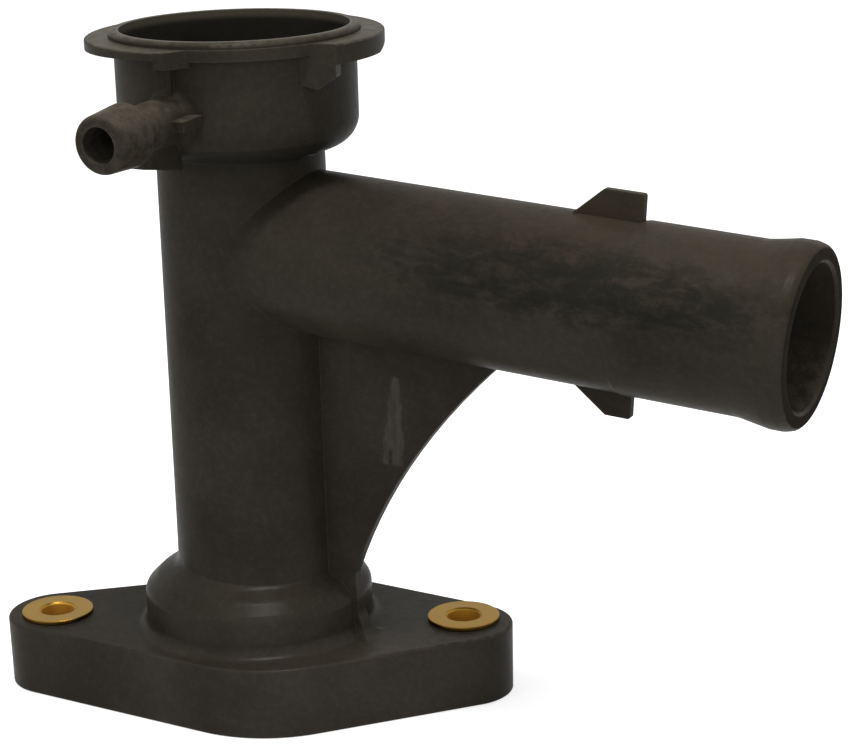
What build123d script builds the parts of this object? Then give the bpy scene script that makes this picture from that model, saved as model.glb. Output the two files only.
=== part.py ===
from build123d import *
import math
import os

os.makedirs("parts", exist_ok=True)

# All sizes are millimetres. Z runs up the standing pipe, X along the line of the two bolts,
# and the origin is the middle of the port on the mounting face.

# Mounting flange
flange_height = 14.3
flange_draft = 0.6
flange_top_rounding = 0.6
flange_foot_rounding = 0.3
bolt_spacing = 84.0
bolt_mid_x = -1.0
bolt_y = 0.1
left_end_radius = 10.2
left_end_y = 1.15
right_end_radius = 9.9
right_end_y = -1.3
broad_arc_radius = 26.55
broad_arc_x = 2.7
broad_arc_y = -1.4

# Bolt sleeves and the holes that hold them
sleeve_bore_radius = 3.4
sleeve_barrel_radius = 4.75
sleeve_clearance = 0.05
sleeve_collar_radius = 7.25
sleeve_collar_height = 0.9
sleeve_mouth_chamfer = 0.4
sleeve_collar_rounding = 0.2

# Cored pockets and port under the flange
pocket_depth = 10.5
pocket_wall = 2.8
pocket_rib = 2.4
pocket_corner = 1.4
port_radius = 19.6
port_height = 18.5
port_shoulder_radius = 4.0
seal_rebate_radius = 21.6
seal_rebate_depth = 2.5
seal_land = 2.4

# Domed foot of the pipe
dome_x = -0.6
dome_radius = 22.9
dome_edge = 22.4
dome_edge_rounding = 2.2
dome_shoulder_radius = 20.2
dome_shoulder_rise = 2.6
dome_shoulder_rounding = 2.5
dome_top_rise = 4.9
dome_neck_radius = 15.95
dome_foot_fillet = 2.4
pipe_foot_fillet = 3.0

# Standing pipe
pipe_low_radius = 16.55
pipe_high_radius = 16.3
pipe_bore_low_radius = 13.1
pipe_bore_high_radius = 13.4

# Filler cup at the head of the pipe, its levels taken from the lip
lip_top = 134.9
lip_radius = 24.0
lip_rounding = 0.9
cup_height = 23.2
cup_radius = 23.1
cup_bottom_rounding = 5.7
cup_neck_fillet = 0.9
cup_bore_radius = 22.0
cup_floor = 2.9
cup_seat_corner = 1.5
cup_bottom = lip_top - cup_height
cup_seat = cup_bottom + cup_floor

# Cam flange round the lip, two lobes with ramps under them
cam_drop = 1.3
cam_top = lip_top - cam_drop
cam_notch_radius = 24.6
cam_lobe_radius = 28.5
cam_notch_thickness = 2.2
cam_ramp = ((62.0, 1.5), (8.0, 2.1), (-8.0, 3.75))
cam_ramp_step = 9.0
cam_entry_inner_angle = 80.3
cam_entry_outer_angle = 72.8
cam_stop_inner_angle = -46.8
cam_stop_outer_angle = -39.7
cam_edge_rounding = 0.35
cam_detent_thickness = 3.2
cam_detent_angle = 69.3
cam_detent_rib = 0.9
cam_detent_rib_drop = 3.6
stop_depth = 3.2
stop_wall_drop = 7.4
stop_tip_drop = 8.5
stop_rim_drop = 6.0

# Hose arm
arm_height = 93.1
arm_azimuth = -21.5
arm_droop = 4.0
arm_radius = 15.75
arm_bore_radius = 13.3
arm_length = 115.6
spigot_radius = 15.95
bead_radius = 16.95
bead_length = 10.4
bead_crest_depth = 3.4
bead_land = 2.4
bead_end_radius = 16.4
arm_end_rounding = 1.4
arm_mouth_rounding = 0.5

# Hose stops on the arm
hose_grip = 32.75
fin_end = arm_length - hose_grip
fin_thickness = 1.6
fin_tip = 21.05
upper_fin_flat = 7.8
upper_fin_ramp = 6.0
lower_fin_flat = 5.0
lower_fin_ramp = 7.2
fin_corner_rounding = 0.5

# Web between pipe and arm, going down over the dome as a rib
web_thickness = 2.2
web_edge = ((22.6, 27.5), (32.9, 48.0), (43.1, 61.5), (54.9, 73.5))
web_rib_reach = 23.2
web_rib_thickness = 3.2
web_rib_height = 7.7
web_rib_flare = 2.0

# Overflow nipple on the cup
nipple_drop = 13.1
nipple_height = lip_top - nipple_drop
nipple_azimuth = -112.8
nipple_droop = 2.8
nipple_length = 45.0
nipple_face_radius = 5.4
nipple_crest_radius = 6.0
nipple_crest = 36.4
nipple_shank_radius = 4.45
nipple_bore_radius = 3.4
nipple_face_rounding = 1.0
nipple_root_fillet = 1.8
cross_fin_thickness = 2.0
cross_fin_reach = 6.9
cross_fin_end = 28.6
gusset_thickness = 3.0
gusset_wall_drop = 9.7
gusset_end = 34.6
gusset_end_drop = 6.7
wall_rib_azimuth = -110.2
wall_rib_thickness = 0.8
wall_rib_radius = 24.2


def rounded(corners):
    """A face on the XZ plane: each corner is (x, z, rounding)."""
    face = make_face(Polyline(*[(x, 0, z) for x, z, _ in corners], close=True))
    for x, z, rounding in corners:
        if rounding:
            nearest = face.vertices().sort_by_distance(Vector(x, 0, z))[0]
            face = fillet(nearest, rounding)
    return face


def polar(radius, angle):
    """A point of the XY plane from its radius and its angle in degrees."""
    turn = math.radians(angle)
    return (radius * math.cos(turn), radius * math.sin(turn))


def branch(height, azimuth, droop):
    """The frame of a tube that leaves the pipe's axis: its X runs out along the tube."""
    turn, tip = math.radians(azimuth), math.radians(droop)
    along = Vector(math.cos(turn) * math.cos(tip), math.sin(turn) * math.cos(tip), -math.sin(tip))
    up = Vector(math.cos(turn) * math.sin(tip), math.sin(turn) * math.sin(tip), math.cos(tip))
    return Plane(origin=(0, 0, height), x_dir=along, z_dir=up)


def upright(azimuth):
    """The vertical plane through the pipe's axis, to be used for parts drawn on XZ."""
    turn = math.radians(azimuth)
    return Plane(origin=(0, 0, 0), x_dir=(math.cos(turn), math.sin(turn), 0), z_dir=(0, 0, 1))


def slab(corners, thickness):
    """A flat plate of even thickness on both sides of the XZ plane."""
    return extrude(rounded(corners), amount=thickness / 2, both=True)


def bolt_places():
    """The two bolt axes on the mounting face."""
    half = bolt_spacing / 2
    return [(bolt_mid_x - half, bolt_y), (bolt_mid_x + half, bolt_y)]


def flange_outline(inset=0.0):
    """The rhombic outline: two end arcs and a broad arc joined by straight tangents."""
    left, right = bolt_places()
    arcs = (
        Pos(left[0], left_end_y) * Circle(left_end_radius - inset)
        + Pos(right[0], right_end_y) * Circle(right_end_radius - inset)
    )
    broad = Pos(broad_arc_x, broad_arc_y) * Circle(broad_arc_radius - inset)
    return make_hull(arcs.edges() + broad.edges())


def flange():
    """The thick mounting flange with its drafted side."""
    plate = extrude(flange_outline(), amount=flange_height, taper=-flange_draft)
    plate = fillet(plate.edges().group_by(Axis.Z)[-1], flange_top_rounding)
    return fillet(plate.edges().group_by(Axis.Z)[0], flange_foot_rounding)


def dome():
    """The domed collar at the foot of the pipe."""
    top = dome_edge + dome_top_rise
    profile = rounded([
        (0, flange_height - 2, 0),
        (dome_radius, flange_height - 2, 0),
        (dome_radius, dome_edge, dome_edge_rounding),
        (dome_shoulder_radius, dome_edge + dome_shoulder_rise, dome_shoulder_rounding),
        (dome_neck_radius, top, pipe_foot_fillet),
        (dome_neck_radius, top + pipe_foot_fillet + 1, 0),
        (0, top + pipe_foot_fillet + 1, 0),
    ])
    return Pos(dome_x, 0, 0) * revolve(profile, Axis.Z)


def pipe_and_cup():
    """The outside of the standing pipe and of the filler cup with its lip."""
    profile = rounded([
        (0, flange_height, 0),
        (pipe_low_radius, flange_height, 0),
        (pipe_high_radius, cup_bottom, cup_neck_fillet),
        (cup_radius, cup_bottom, cup_bottom_rounding),
        (cup_radius, cam_top - cam_notch_thickness / 2, 0),
        (lip_radius, cam_top - cam_notch_thickness / 2, 0),
        (lip_radius, lip_top, lip_rounding),
        (0, lip_top, 0),
    ])
    return revolve(profile, Axis.Z)


def lobe_outline():
    """Plan of one cam lobe with its two slanted ends."""
    reach = 2.0 * cam_lobe_radius
    slope = cam_lobe_radius - lip_radius

    def end(inner_angle, outer_angle):
        start = Vector(*polar(lip_radius, inner_angle))
        finish = Vector(*polar(cam_lobe_radius, outer_angle))
        beyond = finish + (finish - start) * (1.5 / slope)
        return [(start.X, start.Y), (beyond.X, beyond.Y)]

    stop = end(cam_stop_inner_angle, cam_stop_outer_angle)
    entry = end(cam_entry_inner_angle, cam_entry_outer_angle)
    middle = (cam_stop_outer_angle + cam_entry_outer_angle) / 2
    fan = [polar(reach, cam_stop_outer_angle), polar(reach, middle), polar(reach, cam_entry_outer_angle)]
    outline = make_face(Polyline((0, 0), *stop, *fan, *reversed(entry), close=True))
    return outline & Circle(cam_lobe_radius)


def ramp_knots():
    """Angle and thickness of a lobe from the entry end to the stop, in small even steps."""
    knots = []
    for (start, thick), (finish, next_thick) in zip(cam_ramp, cam_ramp[1:]):
        steps = max(1, round((start - finish) / cam_ramp_step))
        for step in range(steps):
            share = step / steps
            knots.append((start + share * (finish - start), thick + share * (next_thick - thick)))
    return knots + [cam_ramp[-1]]


def ramp_cutter():
    """What is taken from under a lobe so that its underside climbs as a ramp."""
    low = cam_top - cam_ramp[-1][1] - 4
    sections = []
    for angle, thickness in ramp_knots():
        top = cam_top - thickness
        section = make_face(Polyline((4, 0, low), (40, 0, low), (40, 0, top), (4, 0, top), close=True))
        sections.append(Rot(0, 0, angle) * section)
    ramp = loft(sections, ruled=True)
    entry_angle, entry_thickness = cam_ramp[0]
    corners = [(0, 0), polar(60, entry_angle), polar(60, entry_angle + 28), polar(60, entry_angle + 56)]
    rest = extrude(make_face(Polyline(*corners, close=True)), amount=cam_top - entry_thickness - low)
    return ramp + Pos(0, 0, low) * rest


def stop_tab():
    """The tab that hangs from a lobe's far end and stops the cap."""
    start = Vector(*polar(lip_radius, cam_stop_inner_angle))
    finish = Vector(*polar(cam_lobe_radius, cam_stop_outer_angle))
    run = finish - start
    face_length = run.length
    plane = Plane(origin=(start.X, start.Y, cam_top), x_dir=run, z_dir=(0, 0, 1))
    tab = rounded([
        (-2.6, -1, 0),
        (-2.6, -stop_wall_drop, 0),
        (1.9, -stop_tip_drop, 0.5),
        (face_length - 0.1, -stop_rim_drop, 0.4),
        (face_length - 0.1, -1, 0),
    ])
    return plane * extrude(tab, amount=-stop_depth)


def entry_detent():
    """The thicker block and small rib at the end where the cap's tab comes in."""
    angles = (cam_entry_outer_angle + 9, cam_detent_angle)
    corners = [(0, 0), polar(60, angles[1]), polar(60, angles[0])]
    wedge = extrude(make_face(Polyline(*corners, close=True)), amount=cam_detent_thickness)
    block = Pos(0, 0, cam_top - cam_detent_thickness) * wedge
    block = block & extrude(lobe_outline(), amount=cam_top)
    rib = slab([
        (cup_radius - 0.6, cam_top - 1, 0),
        (cup_radius - 0.6, cam_top - cam_detent_rib_drop, 0),
        (cam_lobe_radius - 0.5, cam_top - cam_detent_rib_drop, 0.5),
        (cam_lobe_radius - 0.5, cam_top - 1, 0),
    ], cam_detent_rib)
    return block + Rot(0, 0, cam_detent_angle) * rib


def cam_flange():
    """The flange that the cap's tabs grip, the same twice round."""
    ring = extrude(Circle(cam_notch_radius), amount=cam_notch_thickness)
    ring = Pos(0, 0, cam_top - cam_notch_thickness) * ring
    thickest = cam_ramp[-1][1]
    lobe = extrude(lobe_outline(), amount=thickest)
    lobe = fillet(lobe.edges().group_by(Axis.Z)[-1].filter_by(GeomType.CIRCLE), cam_edge_rounding)
    lobe = Pos(0, 0, cam_top - thickest) * lobe
    lobe = lobe - ramp_cutter()
    lobe = lobe + entry_detent() + stop_tab()
    return ring + lobe + Rot(0, 0, 180) * lobe


def arm_outside():
    """The hose arm along X with its rolled end bead."""
    profile = rounded([
        (0, 0, 0),
        (0, arm_radius, 0),
        (fin_end - 0.6, arm_radius, 0),
        (fin_end, spigot_radius, 0),
        (arm_length - bead_length, spigot_radius, 6.0),
        (arm_length - bead_crest_depth - bead_land / 2, bead_radius, 2.0),
        (arm_length - bead_crest_depth + bead_land / 2, bead_radius, 2.0),
        (arm_length, bead_end_radius, arm_end_rounding),
        (arm_length, 0, 0),
    ])
    return revolve(profile, Axis.X)


def hose_stops():
    """The two ramped fins that stop the hose, in the mould's parting plane."""
    root = arm_radius - 1.5

    def fin(flat, ramp):
        start = fin_end - flat - ramp * (fin_tip - root) / (fin_tip - arm_radius)
        return slab([
            (start, root, 0),
            (fin_end - flat, fin_tip, fin_corner_rounding),
            (fin_end, fin_tip, fin_corner_rounding),
            (fin_end, root, 0),
        ], fin_thickness)

    return fin(upper_fin_flat, upper_fin_ramp) + Rot(180, 0, 0) * fin(lower_fin_flat, lower_fin_ramp)


def web():
    """The thin web from pipe to arm with its hollow free edge and the rib down the dome."""
    low, high = web_edge[0], web_edge[-1]
    edge = Spline(*[(x, 0, z) for x, z in web_edge])
    rest = Polyline(
        (high[0], 0, high[1]),
        (high[0] + 2, 0, high[1] + 6),
        (pipe_bore_high_radius + 1, 0, arm_height - 4),
        (pipe_bore_high_radius + 1, 0, flange_height - 1),
        (web_rib_reach, 0, flange_height - 1),
        (low[0], 0, low[1]),
    )
    plate = extrude(make_face(edge + rest), amount=web_thickness / 2, both=True)
    inner = pipe_bore_high_radius + 1

    def across(level, reach, thickness):
        return Pos((inner + reach) / 2, 0, level) * Rectangle(reach - inner, thickness)

    rib_top = flange_height + web_rib_height
    rib = slab([
        (inner, flange_height - 1, 0),
        (web_rib_reach + web_rib_flare, flange_height - 1, 0),
        (web_rib_reach, flange_height + 0.6 * web_rib_height, 4.0),
        (web_rib_reach, rib_top, 0),
        (inner, rib_top, 0),
    ], web_rib_thickness)
    thinning = loft([
        across(rib_top, web_rib_reach, web_rib_thickness),
        across(low[1], low[0] - 0.1, web_thickness - 0.02),
    ])
    return upright(arm_azimuth) * (plate + rib + thinning)


def nipple_outside():
    """The barbed overflow nipple along X."""
    profile = rounded([
        (18, 0, 0),
        (18, nipple_shank_radius, 0),
        (nipple_crest, nipple_shank_radius, 0),
        (nipple_crest, nipple_crest_radius, 0.15),
        (nipple_length, nipple_face_radius, nipple_face_rounding),
        (nipple_length, 0, 0),
    ])
    return revolve(profile, Axis.X)


def head(nipple_frame):
    """Pipe, cup and nipple in one, with a fillet where the nipple leaves the cup wall."""
    body = pipe_and_cup() + nipple_frame * nipple_outside()
    edges = []
    for edge in body.edges():
        spots = [nipple_frame.to_local_coords(edge @ share) for share in (0, 0.25, 0.5, 0.75)]
        if all(spot.X > 10 and abs(math.hypot(spot.Y, spot.Z) - nipple_shank_radius) < 0.02 for spot in spots):
            if max(spot.X for spot in spots) < cup_radius + 1:
                edges.append(edge)
    return fillet(edges, nipple_root_fillet)


def nipple_fins():
    """The side fins and the gusset that stop the small hose."""
    inside = cup_bore_radius + 0.4
    side = extrude(
        make_face(Polyline((inside, 0), (inside, cross_fin_reach), (cross_fin_end, cross_fin_reach),
                           (cross_fin_end, 0), close=True)),
        amount=cross_fin_thickness / 2, both=True)
    gusset = slab([
        (inside, 0, 0),
        (inside, -gusset_wall_drop, 0),
        (gusset_end, -gusset_end_drop, 0.3),
        (gusset_end, 0, 0),
    ], gusset_thickness)
    return side + mirror(side, about=Plane.XZ) + gusset


def wall_rib():
    """The fine rib on the cup wall between the nipple's root and the cam flange."""
    low = nipple_height + nipple_shank_radius - 2
    rib = slab([
        (cup_bore_radius + 0.6, low, 0),
        (wall_rib_radius, low, 0),
        (wall_rib_radius, cam_top - 1, 0),
        (cup_bore_radius + 0.6, cam_top - 1, 0),
    ], wall_rib_thickness)
    return Rot(0, 0, wall_rib_azimuth) * rib


def pockets():
    """Cored pockets under the flange ends, two on each side of the port."""
    inner = flange_outline(pocket_wall)
    tools = None
    for x, y in bolt_places():
        side = math.copysign(1, x)
        near = side * (seal_rebate_radius + seal_land)
        far = x - side * (sleeve_barrel_radius + sleeve_clearance + pocket_wall)
        for half in (1, -1):
            window = Pos((near + far) / 2, y + half * (pocket_rib / 2 + 15)) * Rectangle(abs(far - near), 30)
            outline = window & inner
            outline = fillet(outline.vertices(), pocket_corner)
            pocket = extrude(outline, amount=pocket_depth)
            tools = pocket if tools is None else tools + pocket
    return tools


def waterways(arm_frame, nipple_frame):
    """Everything hollow inside: port, pipe, cup, arm and nipple."""
    upright_bore = rounded([
        (0, -1, 0),
        (seal_rebate_radius, -1, 0),
        (seal_rebate_radius, seal_rebate_depth, 0.3),
        (port_radius, seal_rebate_depth, 0.3),
        (port_radius, port_height, port_shoulder_radius),
        (pipe_bore_low_radius, port_height + 2.0, 2.0),
        (pipe_bore_high_radius, cup_seat, 0.6),
        (cup_bore_radius, cup_seat, cup_seat_corner),
        (cup_bore_radius, lip_top, 0),
        (cup_bore_radius, lip_top + 1, 0),
        (0, lip_top + 1, 0),
    ])
    hollow = revolve(upright_bore, Axis.Z)
    arm_bore = rounded([
        (0, 0, 0),
        (0, arm_bore_radius, 0),
        (arm_length - arm_mouth_rounding, arm_bore_radius, 0),
        (arm_length + 1.0, arm_bore_radius + arm_mouth_rounding + 1.0, 0),
        (arm_length + 1.0, 0, 0),
    ])
    hollow = hollow + arm_frame * revolve(arm_bore, Axis.X)
    reach = nipple_length - 10 + 1
    nipple_bore = Pos(10 + reach / 2, 0, 0) * Rot(0, 90, 0) * Cylinder(nipple_bore_radius, reach)
    return hollow + nipple_frame * nipple_bore


def at_foot(point):
    """Whether a point lies near the foot of the dome or of the web's rib."""
    radius = math.hypot(point.X, point.Y)
    beside_rib = abs(math.degrees(math.atan2(point.Y, point.X)) - arm_azimuth) < 8
    return radius < dome_radius + 2 or (beside_rib and radius < web_rib_reach + web_rib_flare + 1)


def foot():
    """Flange, dome and web in one, with a fillet where dome and rib stand on the flange."""
    body = flange() + dome() + web()
    edges = []
    for edge in body.edges():
        box = edge.bounding_box()
        level = max(abs(box.min.Z - flange_height), abs(box.max.Z - flange_height)) < 0.02
        if level and all(at_foot(edge @ share) for share in (0, 0.5, 1)):
            edges.append(edge)
    return fillet(edges, dome_foot_fillet)


def housing():
    """The one-piece moulded body."""
    arm_frame = branch(arm_height, arm_azimuth, arm_droop)
    nipple_frame = branch(nipple_height, nipple_azimuth, nipple_droop)
    body = foot() + head(nipple_frame)
    body = body + arm_frame * arm_outside() + arm_frame * hose_stops()
    body = body + nipple_frame * nipple_fins()
    body = body + cam_flange() + wall_rib()
    body = body - waterways(arm_frame, nipple_frame) - pockets()
    for x, y in bolt_places():
        hole = Pos(x, y, flange_height / 2) * Cylinder(sleeve_barrel_radius + sleeve_clearance, flange_height + 2)
        body = body - hole
    return body


def sleeve(place):
    """A flanged brass sleeve that takes the bolt's clamp load."""
    x, y = place
    top = flange_height + sleeve_collar_height
    profile = rounded([
        (sleeve_bore_radius, 0, 0),
        (sleeve_barrel_radius, 0, 0),
        (sleeve_barrel_radius, flange_height, 0),
        (sleeve_collar_radius, flange_height, sleeve_collar_rounding),
        (sleeve_collar_radius, top, sleeve_collar_rounding),
        (sleeve_bore_radius + sleeve_mouth_chamfer, top, 0),
        (sleeve_bore_radius, top - sleeve_mouth_chamfer, 0),
    ])
    return Pos(x, y, 0) * revolve(profile, Axis.Z)


left_bolt, right_bolt = bolt_places()
export_step(housing(), "parts/neck_housing.step")
export_step(sleeve(left_bolt), "parts/bolt_sleeve_left.step")
export_step(sleeve(right_bolt), "parts/bolt_sleeve_right.step")
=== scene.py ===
import math

import bpy
from mathutils import Matrix, Vector


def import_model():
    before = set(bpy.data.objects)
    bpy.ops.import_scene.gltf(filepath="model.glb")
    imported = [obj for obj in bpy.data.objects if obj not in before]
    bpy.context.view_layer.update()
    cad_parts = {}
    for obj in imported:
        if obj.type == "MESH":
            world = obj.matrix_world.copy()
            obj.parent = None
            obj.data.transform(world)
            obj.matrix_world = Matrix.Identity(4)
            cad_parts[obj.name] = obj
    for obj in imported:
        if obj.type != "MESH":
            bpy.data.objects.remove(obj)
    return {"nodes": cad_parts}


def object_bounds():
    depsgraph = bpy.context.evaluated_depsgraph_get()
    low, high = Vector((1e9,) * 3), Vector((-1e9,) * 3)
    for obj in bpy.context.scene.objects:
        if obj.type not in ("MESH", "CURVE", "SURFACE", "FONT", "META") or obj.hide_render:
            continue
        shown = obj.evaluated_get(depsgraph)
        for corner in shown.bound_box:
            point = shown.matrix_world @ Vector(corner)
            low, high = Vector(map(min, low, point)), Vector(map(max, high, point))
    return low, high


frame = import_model()
cad_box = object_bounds()

# The photograph's camera, in the part's frame. Angles in degrees, lengths in metres.
CAMERA_AZIMUTH = 6.400
CAMERA_ELEVATION = 16.338
CAMERA_ROLL = -1.606
CAMERA_DISTANCE = 0.464842
CAMERA_AIM_SIDE = 0.034310
CAMERA_AIM_HEIGHT = 0.064942
CAMERA_LENS = 99.35
SENSOR_WIDTH = 36.0

# The hose arm, as the solids have it
ARM_HEIGHT = 0.0931
ARM_AZIMUTH = math.radians(-21.5)
ARM_DROOP = math.radians(4.0)
ARM_END = 0.1060
ARM_BORE_RADIUS = 0.0133

# The overflow spigot's outer end
SPIGOT_AZIMUTH = math.radians(-112.8)
SPIGOT_HEIGHT = 0.1200
SPIGOT_REACH = 0.038

# The filler cup
CUP_BORE_RADIUS = 0.0222
CUP_FLOOR = 0.110
LIP_EDGE = 0.1335

# The two bolts and their sleeves
BOLT_MID_X = -0.001
BOLT_SPACING = 0.084
BOLT_Y = 0.0001
SLEEVE_BORE_RADIUS = 0.0035
SLEEVE_COLLAR_RADIUS = 0.0070

# Marks of use
STAIN_MIDDLE = (0.0655, -0.0425, 0.0945)
STAIN_HALF_SIZES = (0.040, 0.012, 0.0075)
SMEAR_HALF_SIZES = (0.0095, 0.0085, 0.0085)
SCUFF_MIDDLE = (0.0297, -0.0130, 0.0602)
SCUFF_HALF_LENGTH = 0.0090
SCUFF_LEAN = 0.06

# Colours, linear
PLASTIC_DARK = (0.0232, 0.0196, 0.0142, 1.0)
PLASTIC_LIGHT = (0.0362, 0.0308, 0.0230, 1.0)
MOTTLE_DARK = (0.0135, 0.0120, 0.0092, 1.0)
MOTTLE_PALE = (0.0560, 0.0480, 0.0370, 1.0)
TAN_BLOOM = (0.046, 0.034, 0.022, 1.0)
ARM_STAIN = (0.0075, 0.0080, 0.0062, 1.0)
DUST_AND_SHEEN = (0.092, 0.078, 0.055, 1.0)
SPIGOT_SMEAR = (0.080, 0.068, 0.050, 1.0)
CUP_PAINTED_SHADE = (0.0100, 0.0105, 0.0090, 1.0)
LIP_PAINTED_HIGHLIGHT = (0.105, 0.092, 0.068, 1.0)
WEB_SCUFF = (0.088, 0.076, 0.062, 1.0)
END_FACE_PAINTED_SHADE = (0.0110, 0.0090, 0.0060, 1.0)
RUBBED_EDGE_AND_HIGHLIGHT = (0.070, 0.062, 0.050, 1.0)
BRASS_DARK = (0.235, 0.132, 0.020, 1.0)
BRASS_LIGHT = (0.305, 0.180, 0.034, 1.0)
BRASS_SPECK = (0.13, 0.080, 0.028, 1.0)
BRASS_BORE_PAINTED_LIGHT = (0.60, 0.34, 0.050, 1.0)
BRASS_SIDE_OXIDE_AND_SHADE = (0.075, 0.036, 0.010, 1.0)
BRASS_GLANCE = (1.0, 0.94, 0.80, 1.0)

# The studio
FLOOR_REACH = 6.0
FLOOR_GAP = 0.0001
FLOOR_COLOUR = (0.80, 0.80, 0.80, 1.0)
FLOOR_LIFT = 0.64
FILL_COLOUR = (0.98, 0.99, 1.0, 1.0)
FILL_STRENGTH = 0.53
WHITE = (1.0, 1.0, 1.0, 1.0)
LAMP_AIM = (0.03, -0.01, 0.07)

RIGHT = Vector((1.0, 0.0, 0.0))
UP = Vector((0.0, 0.0, 1.0))


def outward(azimuth):
    """The level direction at an azimuth."""
    return Vector((math.cos(azimuth), math.sin(azimuth), 0.0))


def crossways(azimuth):
    """The level direction a quarter turn on from an azimuth."""
    return Vector((-math.sin(azimuth), math.cos(azimuth), 0.0))


def arm_axes():
    """Along the hose arm, level across it, and square to both."""
    along = outward(ARM_AZIMUTH) * math.cos(ARM_DROOP) - UP * math.sin(ARM_DROOP)
    across = crossways(ARM_AZIMUTH)
    return along, across, along.cross(across)


def add_camera():
    az, el, roll = (math.radians(v) for v in (CAMERA_AZIMUTH, CAMERA_ELEVATION, CAMERA_ROLL))
    back = Vector((math.sin(az) * math.cos(el), -math.cos(az) * math.cos(el), math.sin(el)))
    side = outward(az)
    up = back.cross(side)
    aim = side * CAMERA_AIM_SIDE + UP * CAMERA_AIM_HEIGHT
    across = math.cos(roll) * side + math.sin(roll) * up
    upward = -math.sin(roll) * side + math.cos(roll) * up
    data = bpy.data.cameras.new("camera")
    data.sensor_width = SENSOR_WIDTH
    data.lens = CAMERA_LENS
    data.clip_start = 0.01
    data.clip_end = 20.0
    camera = bpy.data.objects.new("camera", data)
    bpy.context.scene.collection.objects.link(camera)
    place = Matrix((across, upward, back)).transposed().to_4x4()
    place.translation = aim + back * CAMERA_DISTANCE
    camera.matrix_world = place
    bpy.context.scene.camera = camera


class Nodes:
    """A short way to write the nodes of a material or a world."""

    def __init__(self, owner):
        owner.use_nodes = True
        self.tree = owner.node_tree
        self.tree.nodes.clear()

    def add(self, kind, values=None, **settings):
        node = self.tree.nodes.new("ShaderNode" + kind)
        for key, value in settings.items():
            setattr(node, key, value)
        for key, value in (values or {}).items():
            self.feed(node.inputs[key], value)
        return node

    def feed(self, socket, value):
        if isinstance(value, bpy.types.NodeSocket):
            self.tree.links.new(value, socket)
        else:
            socket.default_value = value

    def math(self, operation, a, b=0.0, clamp=False):
        return self.add("Math", {0: a, 1: b}, operation=operation, use_clamp=clamp).outputs[0]

    def times(self, *factors):
        product = factors[0]
        for factor in factors[1:]:
            product = self.math("MULTIPLY", product, factor)
        return product

    def without(self, mask, share=1.0):
        """1 outside a mask, less by the share inside it."""
        return self.math("SUBTRACT", 1.0, self.math("MULTIPLY", mask, share))

    def vector(self, operation, *values):
        node = self.add("VectorMath", dict(enumerate(values)), operation=operation)
        return node.outputs["Value" if operation in ("DOT_PRODUCT", "LENGTH") else "Vector"]

    def dot(self, vector, direction):
        return self.vector("DOT_PRODUCT", vector, direction)

    def place(self):
        return self.add("TexCoord").outputs["Object"]

    def facing(self, direction):
        """The share of the face's normal that points in a direction."""
        return self.dot(self.add("NewGeometry").outputs["Normal"], direction)

    def bevel(self, radius):
        """The normal as it would be with the edges rounded."""
        return self.add("Bevel", {"Radius": radius}, samples=4).outputs["Normal"]

    def bump(self, height, strength, distance, normal):
        values = {"Strength": strength, "Distance": distance, "Height": height, "Normal": normal}
        return self.add("Bump", values).outputs["Normal"]

    def noise(self, vector, scale, detail, roughness, distortion=0.0):
        values = {"Vector": vector, "Scale": scale, "Detail": detail, "Roughness": roughness,
                  "Distortion": distortion}
        return self.add("TexNoise", values).outputs["Fac"]

    def span(self, value, low, high, to_low=0.0, to_high=1.0, ease="SMOOTHSTEP"):
        """A value's range brought to another, from 0 to 1 unless stated, with soft ends."""
        values = {"Value": value, "From Min": low, "From Max": high,
                  "To Min": to_low, "To Max": to_high}
        return self.add("MapRange", values, interpolation_type=ease).outputs["Result"]

    def mix(self, factor, a, b):
        node = self.add("Mix", data_type="RGBA")
        self.feed(node.inputs["Factor"], factor)
        self.feed(node.inputs["A"], a)
        self.feed(node.inputs["B"], b)
        return node.outputs["Result"]

    def blend(self, factor, a, b):
        return self.add("MixShader", {0: factor, 1: a, 2: b}).outputs["Shader"]

    def near(self, vector, centre, axes, sizes, soft):
        """1 inside an ellipsoid with its own axes, falling softly to 0 outside it."""
        offset = self.vector("SUBTRACT", vector, centre)
        total = None
        for axis, size in zip(axes, sizes):
            part = self.math("DIVIDE", self.dot(offset, axis), size)
            square = self.math("MULTIPLY", part, part)
            total = square if total is None else self.math("ADD", total, square)
        return self.span(total, 1.0 - soft, 1.0 + soft, 1.0, 0.0)

    def seen(self):
        """1 for what the camera sees directly, mirrored or through something, else 0."""
        path = self.add("LightPath").outputs
        mirrored = self.math("MAXIMUM", path["Is Glossy Ray"], path["Is Transmission Ray"])
        return self.math("MAXIMUM", path["Is Camera Ray"], mirrored)


def plain_plastic(n, place, clouds):
    """The moulding's own colour: warm dark grey, cloudy and finely mottled."""
    colour = n.mix(n.span(clouds, 0.32, 0.68), PLASTIC_DARK, PLASTIC_LIGHT)
    mottle = n.noise(place, 820.0, 5.0, 0.7)
    colour = n.mix(n.span(mottle, 0.38, 0.60, 0.18, 0.0), colour, MOTTLE_DARK)
    return n.mix(n.span(mottle, 0.50, 0.68, 0.0, 0.13), colour, MOTTLE_PALE)


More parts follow.
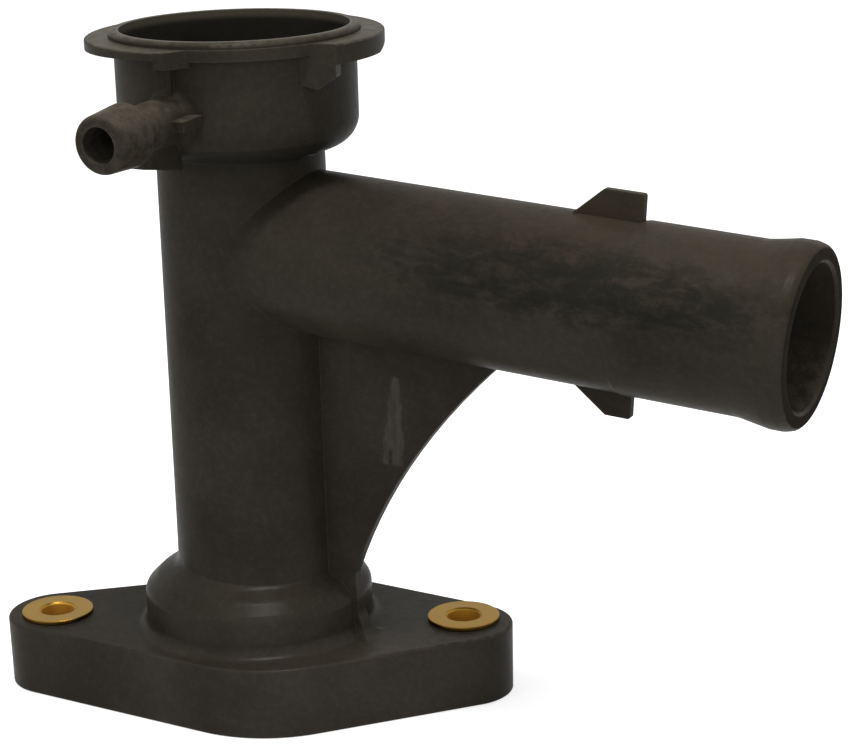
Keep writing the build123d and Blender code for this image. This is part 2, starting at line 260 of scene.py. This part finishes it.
def weathered_arm(n, place, colour):
    """Tan bloom on the upper side of the arm, green-black stains along its flank."""
    along, across, up = arm_axes()
    point = n.vector("SUBTRACT", place, UP * ARM_HEIGHT)
    run, height = n.dot(point, along), n.dot(point, up)

    upper = n.times(n.span(run, 0.030, 0.062), n.span(height, 0.003, 0.013))
    patches = n.span(n.noise(place, 90.0, 5.0, 0.65), 0.36, 0.64, 0.2, 1.0)
    colour = n.mix(n.times(upper, patches, 0.55), colour, TAN_BLOOM)

    stretched = {"X": n.times(run, 0.45), "Y": n.dot(point, across), "Z": height}
    stretched = n.add("CombineXYZ", stretched).outputs["Vector"]
    stain = n.near(place, STAIN_MIDDLE, (along, across, up), STAIN_HALF_SIZES, 0.8)
    blots = n.math("ADD", n.noise(stretched, 330.0, 6.0, 0.75, 0.3), n.times(stain, 0.16))
    stain = n.times(stain, n.span(blots, 0.48, 0.72))
    return n.mix(n.times(stain, 0.72), colour, ARM_STAIN)


def dust_and_painted_sheen(n, place, colour):
    """Dust on what faces up, round the lip and in the arm's bore, and a painted reflection that
    lightens the flange's top to the right.
    """
    level = n.dot(place, UP)
    high = n.span(level, 0.1115, 0.1150)
    point = n.vector("SUBTRACT", place, UP * ARM_HEIGHT)
    from_axis = n.vector("LENGTH", n.vector("CROSS_PRODUCT", point, arm_axes()[0]))
    in_bore = n.span(from_axis, ARM_BORE_RADIUS + 0.0007, ARM_BORE_RADIUS + 0.0001)
    low_or_in_bore = n.math("MAXIMUM", n.span(level, 0.060, 0.050, 0.15, 1.0), in_bore)
    # Lighter to the right low on the part: a painted reflection on the flange's top. In the arm's bore
    # it is dust.
    right = n.times(n.span(n.dot(place, RIGHT), 0.015, 0.045, 0.05, 1.0), low_or_in_bore)
    patches = n.span(n.noise(place, 420.0, 4.0, 0.7), 0.38, 0.60, 0.35, 1.0)
    dust = n.times(n.span(n.facing(UP), 0.10, 0.85), n.math("MAXIMUM", high, right), patches)
    return n.mix(n.times(dust, 0.60), colour, DUST_AND_SHEEN)


def smeared_spigot(n, place, colour):
    """A pale smear on the overflow spigot's outer end."""
    axes = (outward(SPIGOT_AZIMUTH), crossways(SPIGOT_AZIMUTH), UP)
    end = axes[0] * SPIGOT_REACH + UP * SPIGOT_HEIGHT
    smear = n.near(place, end, axes, SMEAR_HALF_SIZES, 0.3)
    patches = n.span(n.noise(place, 520.0, 4.0, 0.65), 0.40, 0.60, 0.25, 1.0)
    return n.mix(n.times(smear, patches, 0.40), colour, SPIGOT_SMEAR)


def cup_painted_shade_and_lip_highlight(n, place, colour):
    """Painted shade darkens the cup inside, and a painted highlight lightens the top of its inner wall.
    """
    away = n.vector("LENGTH", n.vector("MULTIPLY", place, (1.0, 1.0, 0.0)))
    level = n.dot(place, UP)
    inside = n.times(n.span(away, CUP_BORE_RADIUS + 0.0004, CUP_BORE_RADIUS),
                     n.span(level, CUP_FLOOR - 0.002, CUP_FLOOR + 0.002))
    below = n.times(inside, n.span(level, LIP_EDGE + 0.0007, LIP_EDGE - 0.0007))
    # Painted shade on the cup's inner wall below the lip.
    colour = n.mix(n.times(below, 0.55), colour, CUP_PAINTED_SHADE)
    # Painted highlight on the top of the inner wall, standing in for a lit rounded inner edge.
    lip_highlight = n.times(inside, n.span(level, LIP_EDGE - 0.0007, LIP_EDGE + 0.0007))
    return n.mix(n.times(lip_highlight, 0.65), colour, LIP_PAINTED_HIGHLIGHT)


def web_scuff(n, place):
    """A scuff down the web's front: narrow above, wider and forked below."""
    web_side = crossways(ARM_AZIMUTH)
    lean = (outward(ARM_AZIMUTH) * SCUFF_LEAN + UP).normalized()
    offset = n.vector("SUBTRACT", place, SCUFF_MIDDLE)
    rise, sideways = n.dot(offset, lean), n.dot(offset, web_side.cross(lean))

    ragged = n.times(n.math("SUBTRACT", n.noise(place, 420.0, 4.0, 0.7), 0.5), 0.0022)
    half_width = n.span(rise, -0.0040, 0.0092, 0.0023, 0.0007, "LINEAR")
    margin = n.math("SUBTRACT", half_width, n.math("ABSOLUTE", sideways))
    within = n.span(n.math("ADD", margin, ragged), -0.0002, 0.0003)
    end = n.math("ADD", rise, ragged)
    within = n.times(within, n.span(end, -SCUFF_HALF_LENGTH - 0.0004, -SCUFF_HALF_LENGTH + 0.0004),
                     n.span(end, SCUFF_HALF_LENGTH + 0.0002, SCUFF_HALF_LENGTH - 0.0004))
    cleft = n.math("ABSOLUTE", n.math("ADD", sideways, 0.0006))
    cleft = n.times(n.span(cleft, 0.0006, 0.0003), n.span(rise, -0.0050, -0.0065))
    streaks = n.add("Mapping", {"Vector": place, "Scale": (1.0, 1.0, 0.22)}).outputs["Vector"]
    streaks = n.span(n.noise(streaks, 900.0, 4.0, 0.65), 0.36, 0.60, 0.40, 1.0)
    front = n.span(n.facing(-web_side), 0.3, 0.6)
    return n.times(within, n.without(cleft), streaks, front)


def arm_end_face(n, place):
    along = arm_axes()[0]
    run = n.dot(n.vector("SUBTRACT", place, UP * ARM_HEIGHT), along)
    return n.times(n.span(n.facing(along), 0.80, 0.95), n.span(run, ARM_END - 0.002, ARM_END))


def coat_weight(n, place, clouds, end_face):
    """Satin low on the part, dull above, on the arm's end and on the flange's top left."""
    level = n.dot(place, UP)
    flange_top = n.times(n.span(level, 0.020, 0.016), n.span(n.facing(UP), 0.90, 0.98))
    dull_left = n.times(flange_top, n.span(n.dot(place, RIGHT), 0.020, -0.010))
    satin = n.times(n.span(level, 0.026, 0.045, 0.110, 0.045), n.span(clouds, 0.3, 0.7, 0.8, 1.2))
    return n.times(satin, n.without(end_face), n.without(dull_left, 0.6))


def moulded_plastic():
    """Dark glass-filled nylon: cloudy and mottled, with dust, stains, a scuff and rubbed edges; painted
    highlights on the edges and round the lip, a painted reflection on the flange, and painted shade in
    the cup and on the arm's end.
    """
    material = bpy.data.materials.new("moulded_plastic")
    n = Nodes(material)
    place = n.place()
    clouds = n.noise(place, 38.0, 4.0, 0.55)
    speckle = n.noise(place, 480.0, 3.0, 0.65)

    colour = plain_plastic(n, place, clouds)
    for layer in (weathered_arm, dust_and_painted_sheen, smeared_spigot, cup_painted_shade_and_lip_highlight):
        colour = layer(n, place, colour)
    scuff = web_scuff(n, place)
    colour = n.mix(n.times(scuff, 0.48), colour, WEB_SCUFF)
    end_face = arm_end_face(n, place)
    # The arm's end face is darkened: painted shade.
    colour = n.mix(n.times(end_face, 0.55), colour, END_FACE_PAINTED_SHADE)

    # Edges are lighter where the rounded normal leaves the face's own: rubbed wear and a painted edge
    # highlight
    edge = n.span(n.facing(n.bevel(0.0006)), 0.998, 0.90)
    rubbed_and_lit_edge = n.times(edge, n.span(speckle, 0.35, 0.65, 0.3, 1.0))
    colour = n.mix(n.times(rubbed_and_lit_edge, 0.42), colour, RUBBED_EDGE_AND_HIGHLIGHT)

    rough = n.span(clouds, 0.25, 0.75, 0.40, 0.48)
    rough = n.math("ADD", rough, n.span(speckle, 0.3, 0.7, -0.04, 0.04))
    rough = n.math("SUBTRACT", rough, n.times(rubbed_and_lit_edge, 0.08))
    rough = n.math("ADD", rough, n.times(scuff, 0.12))
    rough = n.math("ADD", rough, n.times(end_face, 0.45), clamp=True)

    waves = n.bump(n.noise(place, 60.0, 2.0, 0.5), 0.10, 0.0010, n.bevel(0.00025))
    grain = n.bump(n.noise(place, 1500.0, 2.0, 0.6), 0.16, 0.00012, waves)
    shader = n.add("BsdfPrincipled", {
        "Base Color": colour,
        "Roughness": rough,
        "Normal": grain,
        "Specular IOR Level": 0.015,
        "Coat Weight": coat_weight(n, place, clouds, end_face),
        "Coat Roughness": 0.29,
        "Coat IOR": 1.45,
        "Coat Normal": waves,
    })
    n.add("OutputMaterial", {"Surface": shader.outputs["BSDF"]})
    return material


def turned_brass():
    """Satin brass: fine turned rings on the collar, a side browned by oxide and painted shade, and a
    duller bore lightened by painted reflection.
    """
    material = bpy.data.materials.new("turned_brass")
    n = Nodes(material)
    place = n.place()
    split = n.add("SeparateXYZ", {"Vector": place}).outputs
    beside = n.math("ABSOLUTE", n.math("SUBTRACT", split["X"], BOLT_MID_X))
    beside = n.math("SUBTRACT", beside, BOLT_SPACING / 2)
    along = n.math("SUBTRACT", split["Y"], BOLT_Y)
    radius = n.math("SQRT", n.math("ADD", n.times(beside, beside), n.times(along, along)))

    clouds = n.noise(place, 260.0, 4.0, 0.6)
    specks = n.noise(place, 1500.0, 3.0, 0.7)
    colour = n.mix(n.span(clouds, 0.3, 0.7), BRASS_DARK, BRASS_LIGHT)
    colour = n.mix(n.span(specks, 0.60, 0.72, 0.0, 0.45), colour, BRASS_SPECK)
    inside = n.span(radius, SLEEVE_BORE_RADIUS + 0.0001, SLEEVE_BORE_RADIUS - 0.0001)
    # The bore is lighter than the collar: painted reflection of light inside the bore.
    colour = n.mix(n.times(inside, 0.85), colour, BRASS_BORE_PAINTED_LIGHT)
    # The collar's side is darker and browner: oxide and painted shade.
    side = n.span(radius, SLEEVE_COLLAR_RADIUS - 0.0002, SLEEVE_COLLAR_RADIUS + 0.0002)
    side = n.times(side, n.span(n.facing(UP), 0.80, 0.30))
    colour = n.mix(n.times(side, 0.75), colour, BRASS_SIDE_OXIDE_AND_SHADE)

    rough = n.math("ADD", n.span(clouds, 0.3, 0.7, 0.30, 0.44), n.times(inside, 0.30), clamp=True)
    rings = n.times(n.math("SINE", n.times(radius, 42000.0)), 0.35)
    shader = n.add("BsdfPrincipled", {
        "Base Color": colour,
        "Roughness": rough,
        "Metallic": 1.0,
        "Specular Tint": BRASS_GLANCE,
        "Normal": n.bump(n.math("ADD", rings, specks), 0.12, 0.00005, n.bevel(0.0002)),
    })
    n.add("OutputMaterial", {"Surface": shader.outputs["BSDF"]})
    return material


def dress(name, material):
    piece = frame["nodes"][name]
    piece.data.materials.clear()
    piece.data.materials.append(material)


def floor():
    """A pale floor that keeps the part's shadow: lifted to white where it is seen, clear from below."""
    material = bpy.data.materials.new("floor_white")
    n = Nodes(material)
    matte = n.add("BsdfDiffuse", {"Color": FLOOR_COLOUR}).outputs["BSDF"]
    none = n.add("Emission", {"Color": WHITE, "Strength": 0.0}).outputs["Emission"]
    lift = n.add("Emission", {"Color": WHITE, "Strength": FLOOR_LIFT}).outputs["Emission"]
    top = n.add("AddShader", {0: matte, 1: n.blend(n.seen(), none, lift)}).outputs["Shader"]
    clear = n.add("BsdfTransparent").outputs["BSDF"]
    from_below = n.add("NewGeometry").outputs["Backfacing"]
    n.add("OutputMaterial", {"Surface": n.blend(from_below, top, clear)})

    mesh = bpy.data.meshes.new("floor")
    sides = ((-1, -1), (1, -1), (1, 1), (-1, 1))
    mesh.from_pydata([(x * FLOOR_REACH, y * FLOOR_REACH, 0) for x, y in sides], [], [(0, 1, 2, 3)])
    mesh.materials.append(material)
    plane = bpy.data.objects.new("floor", mesh)
    plane.location.z = cad_box[0].z - FLOOR_GAP
    bpy.context.scene.collection.objects.link(plane)


def world():
    """White where the camera looks past the part, a plain even grey as light."""
    made = bpy.data.worlds.new("studio")
    bpy.context.scene.world = made
    n = Nodes(made)
    fill = n.add("Background", {"Color": FILL_COLOUR, "Strength": FILL_STRENGTH}).outputs[0]
    white = n.add("Background", {"Color": WHITE, "Strength": 1.0}).outputs[0]
    n.add("OutputWorld", {"Surface": n.blend(n.seen(), fill, white)})


def area_lamp(name, place, size, power):
    data = bpy.data.lights.new(name, "AREA")
    data.shape = "RECTANGLE"
    data.size, data.size_y = size
    data.energy = power
    lamp = bpy.data.objects.new(name, data)
    lamp.location = place
    lamp.rotation_euler = (Vector(place) - Vector(LAMP_AIM)).to_track_quat("Z", "Y").to_euler()
    bpy.context.scene.collection.objects.link(lamp)


def lights():
    area_lamp("overhead", (0.09, -0.22, 1.05), (0.30, 0.12), 6.2)
    area_lamp("left_front", (-0.95, -0.75, 0.75), (0.7, 0.9), 1.6)
    area_lamp("front", (0.10, -1.25, 0.55), (0.8, 0.7), 1.3)


add_camera()
dress("neck_housing", moulded_plastic())
brass = turned_brass()
dress("bolt_sleeve_left", brass)
dress("bolt_sleeve_right", brass)
floor()
world()
lights()
bpy.context.scene.view_settings.view_transform = "Standard"
